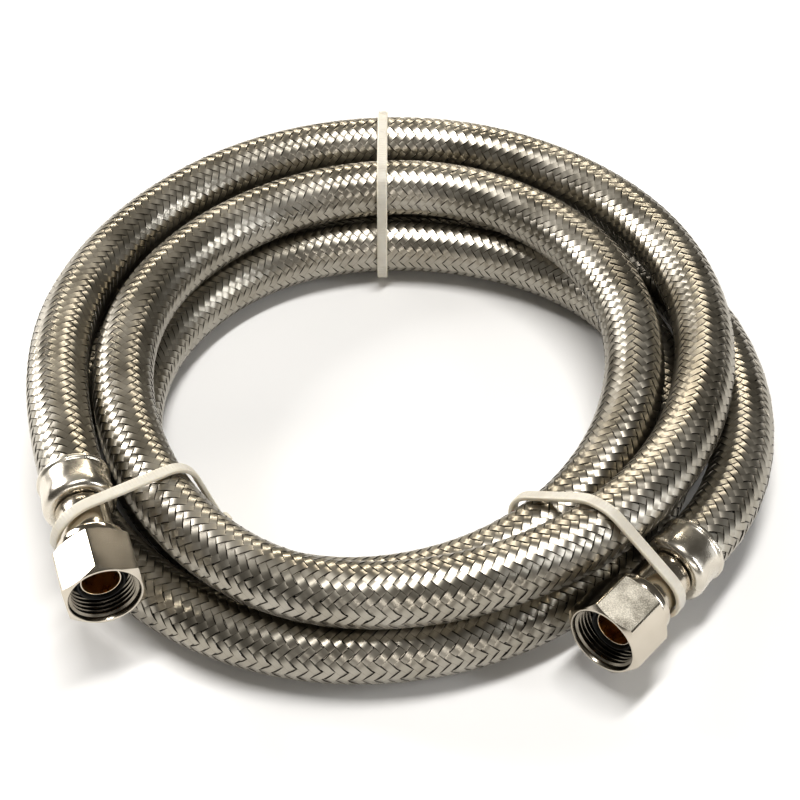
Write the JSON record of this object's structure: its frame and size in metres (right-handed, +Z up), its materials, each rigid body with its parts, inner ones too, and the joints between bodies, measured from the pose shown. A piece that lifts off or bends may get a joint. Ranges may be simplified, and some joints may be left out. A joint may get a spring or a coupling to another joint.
{
  "type": "braided supply line",
  "caption": "Flexible water supply line in braided stainless steel with a hexagon swivel nut at each end, coiled and held by plastic ties.",
  "frame": {"origin": "on the floor under the middle of the coil, at the bottom centre of the bounding box", "axes": "+Z up through the middle of the coil, -Y towards the front where both nuts point, +X to the right"},
  "size_m": [0.17, 0.1725, 0.0353],
  "materials": {
    "braid": "woven stainless steel wire, bright with warm reflections",
    "liner": "matt black rubber tube",
    "ferrule": "pressed stainless steel, satin",
    "insert": "turned brass, nickel plated outside and bare in the bore",
    "nut": "nickel plate, bright edges and finely blasted flats",
    "ring": "plain spring steel",
    "seal": "black rubber",
    "tie": "natural nylon, slightly translucent"
  },
  "bodies": {
    "line": {"braid_sleeve": "braid", "inner_tube": "liner", "ferrule_a": "ferrule", "ferrule_b": "ferrule", "stem_a": "insert", "stem_b": "insert", "cone_washer_a": "seal", "cone_washer_b": "seal", "tie_top": "tie", "tie_left": "tie", "tie_right": "tie"},
    "ring_a": {"retaining_ring_a": "ring"},
    "nut_a": {"nut_a": "nut"},
    "ring_b": {"retaining_ring_b": "ring"},
    "nut_b": {"nut_b": "nut"}
  },
  "joints": [
    {"name": "nut_a_slide", "type": "slide", "parent": "line", "child": "ring_a", "axis": [0.309, -0.9509, -0.0175], "range_m": [0, 0.0015]},
    {"name": "nut_a_spin", "type": "hinge", "parent": "ring_a", "child": "nut_a", "pos_m": [-0.05905, -0.07865, 0.026], "axis": [0.309, -0.9509, -0.0175], "continuous": true},
    {"name": "nut_b_slide", "type": "slide", "parent": "line", "child": "ring_b", "axis": [-0.6427, -0.7659, 0.0175], "range_m": [0, 0.0015]},
    {"name": "nut_b_spin", "type": "hinge", "parent": "ring_b", "child": "nut_b", "pos_m": [0.04095, -0.08115, 0.015], "axis": [-0.6427, -0.7659, 0.0175], "continuous": true}
  ]
}
